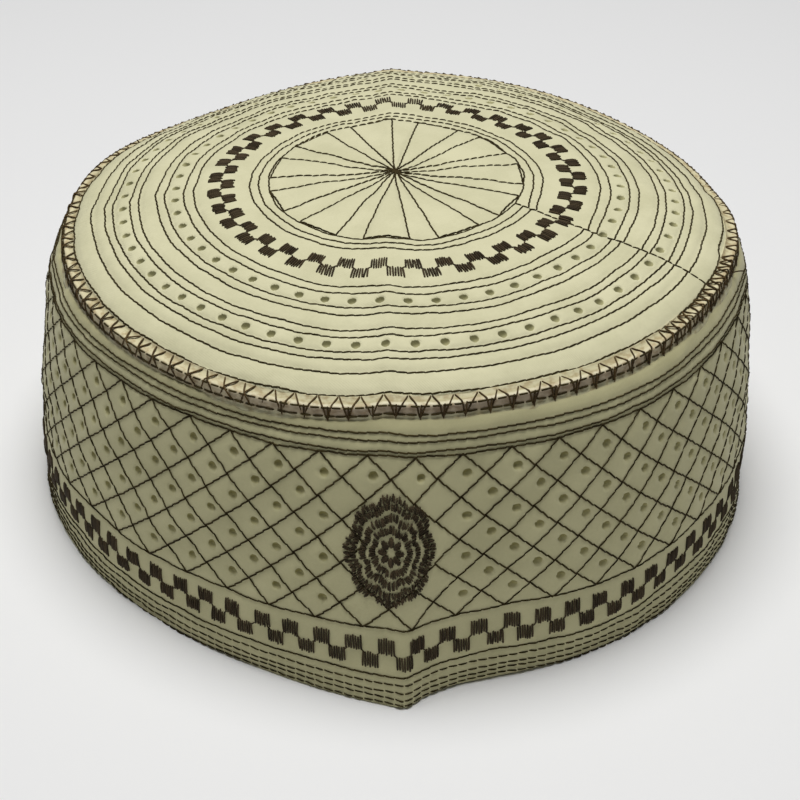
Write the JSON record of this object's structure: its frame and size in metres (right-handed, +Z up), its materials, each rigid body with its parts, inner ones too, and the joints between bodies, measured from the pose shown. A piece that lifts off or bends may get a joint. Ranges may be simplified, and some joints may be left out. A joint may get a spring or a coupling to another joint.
{
  "type": "embroidered prayer cap",
  "caption": "Round cloth prayer cap with a flat quilted crown, a corded seam and a tall embroidered side band with a front motif, open below for the head.",
  "frame": {"origin": "middle of the cap's outline, on the surface that the hem rests on", "axes": "+Z up through the crown, -Y to the front of the cap where the motif is, +X to the side on the right when the front is seen"},
  "size_m": [0.18, 0.186, 0.0807],
  "materials": {
    "crown_cloth": "matte cream cotton twill, quilted",
    "band_cloth": "matte cream cotton twill, quilted",
    "piping_cloth": "matte tan cotton over a cord",
    "brown_thread": "brown embroidery thread with a soft sheen"
  },
  "bodies": {
    "root": {"crown": "crown_cloth", "seam_piping": "piping_cloth", "side_band": "band_cloth", "front_motif": "brown_thread"}
  },
  "joints": []
}
